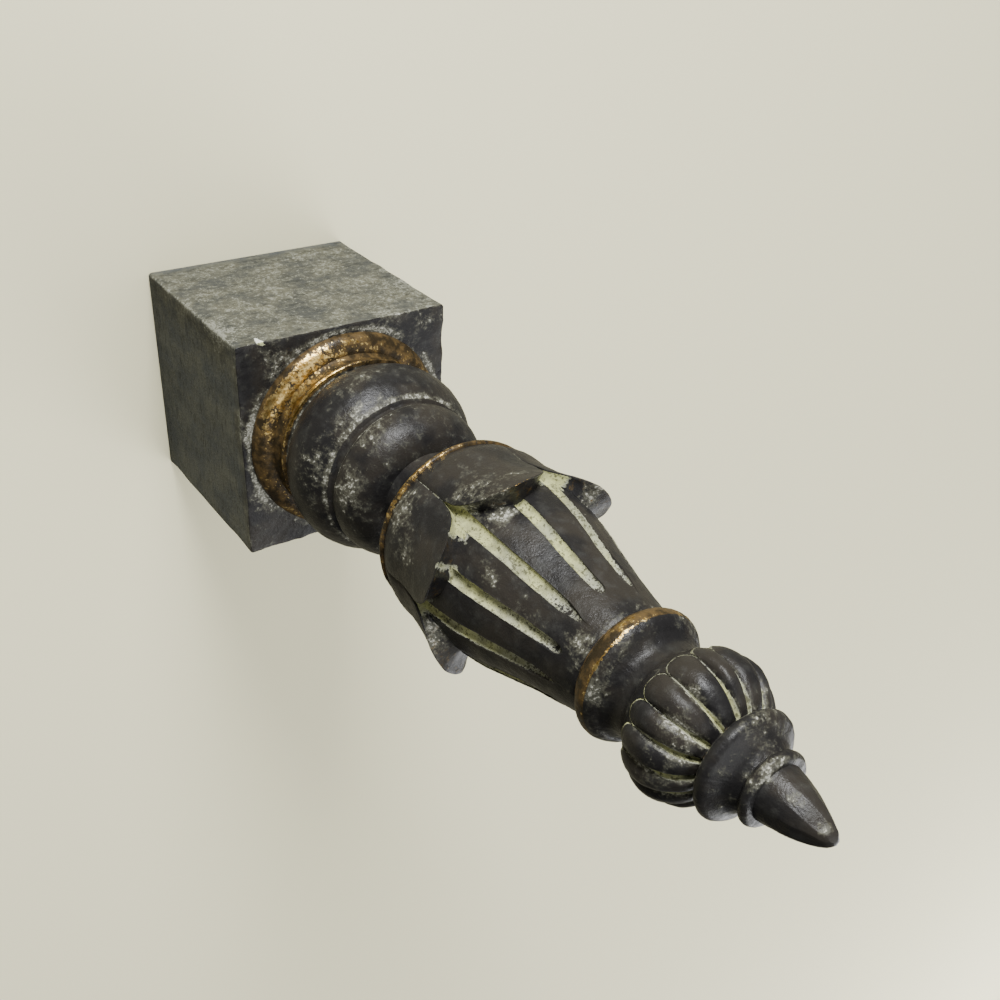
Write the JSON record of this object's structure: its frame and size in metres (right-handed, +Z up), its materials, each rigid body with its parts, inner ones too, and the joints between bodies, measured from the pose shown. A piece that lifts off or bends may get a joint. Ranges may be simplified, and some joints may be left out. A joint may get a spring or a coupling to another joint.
{
  "type": "roof finial",
  "caption": "Turned and carved roof finial: square plinth, ringed ball, leaf cup, fluted body and gadrooned knob with a blunt bud, in black paint over cream with gilt bands.",
  "frame": {"origin": "centre of the plinth's underside", "axes": "+Z up along the shaft to the bud; X and Y across the plinth's flat sides"},
  "size_m": [0.09, 0.09, 0.3446],
  "materials": {
    "painted_wood": "black paint worn to a cream ground, gilt on the rings, satin"
  },
  "bodies": {
    "root": {"finial": "painted_wood"}
  },
  "joints": []
}
